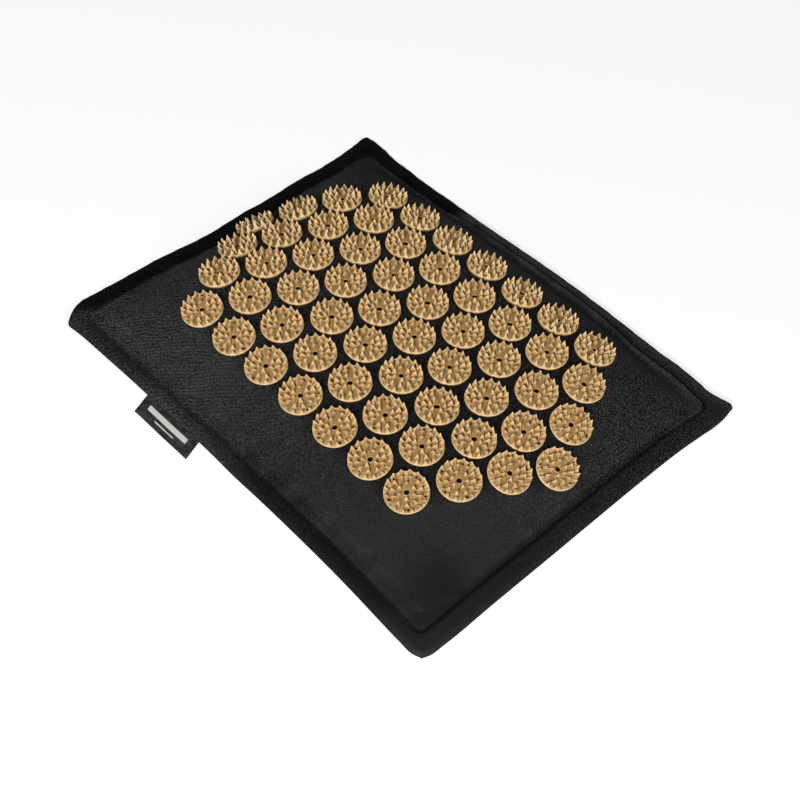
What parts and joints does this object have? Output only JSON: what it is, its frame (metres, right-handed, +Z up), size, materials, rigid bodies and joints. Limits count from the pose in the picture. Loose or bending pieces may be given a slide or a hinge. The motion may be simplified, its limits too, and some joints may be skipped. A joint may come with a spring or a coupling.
{
  "type": "acupressure mat",
  "caption": "Rectangular foam-padded acupressure mat with a domed cloth cover, a flat sewn flange and a hexagonal pattern of spiked plastic discs.",
  "frame": {"origin": "middle of the flat underside, on the surface the mat lies on, without the label", "axes": "+X along the mat's long side, +Y away from the side that holds the label, +Z up through the spikes"},
  "size_m": [0.315, 0.265, 0.0274],
  "materials": {
    "cover_cloth": "black fine woven polyester, soft sheen",
    "disc_plastic": "tan moulded plastic, satin",
    "foam": "grey open-cell polyurethane foam"
  },
  "bodies": {
    "root": {"cover": "cover_cloth", "foam_pad": "foam", "spike_disc_01": "disc_plastic", "spike_disc_02": "disc_plastic", "spike_disc_03": "disc_plastic", "spike_disc_04": "disc_plastic", "spike_disc_05": "disc_plastic", "spike_disc_06": "disc_plastic", "spike_disc_07": "disc_plastic", "spike_disc_08": "disc_plastic", "spike_disc_09": "disc_plastic", "spike_disc_10": "disc_plastic", "spike_disc_11": "disc_plastic", "spike_disc_12": "disc_plastic", "spike_disc_13": "disc_plastic", "spike_disc_14": "disc_plastic", "spike_disc_15": "disc_plastic", "spike_disc_16": "disc_plastic", "spike_disc_17": "disc_plastic", "spike_disc_18": "disc_plastic", "spike_disc_19": "disc_plastic", "spike_disc_20": "disc_plastic", "spike_disc_21": "disc_plastic", "spike_disc_22": "disc_plastic", "spike_disc_23": "disc_plastic", "spike_disc_24": "disc_plastic", "spike_disc_25": "disc_plastic", "spike_disc_26": "disc_plastic", "spike_disc_27": "disc_plastic", "spike_disc_28": "disc_plastic", "spike_disc_29": "disc_plastic", "spike_disc_30": "disc_plastic", "spike_disc_31": "disc_plastic", "spike_disc_32": "disc_plastic", "spike_disc_33": "disc_plastic", "spike_disc_34": "disc_plastic", "spike_disc_35": "disc_plastic", "spike_disc_36": "disc_plastic", "spike_disc_37": "disc_plastic", "spike_disc_38": "disc_plastic", "spike_disc_39": "disc_plastic", "spike_disc_40": "disc_plastic", "spike_disc_41": "disc_plastic", "spike_disc_42": "disc_plastic", "spike_disc_43": "disc_plastic", "spike_disc_44": "disc_plastic", "spike_disc_45": "disc_plastic", "spike_disc_46": "disc_plastic", "spike_disc_47": "disc_plastic", "spike_disc_48": "disc_plastic", "spike_disc_49": "disc_plastic", "spike_disc_50": "disc_plastic", "spike_disc_51": "disc_plastic", "spike_disc_52": "disc_plastic", "spike_disc_53": "disc_plastic", "spike_disc_54": "disc_plastic", "spike_disc_55": "disc_plastic", "spike_disc_56": "disc_plastic", "spike_disc_57": "disc_plastic", "spike_disc_58": "disc_plastic"}
  },
  "joints": []
}
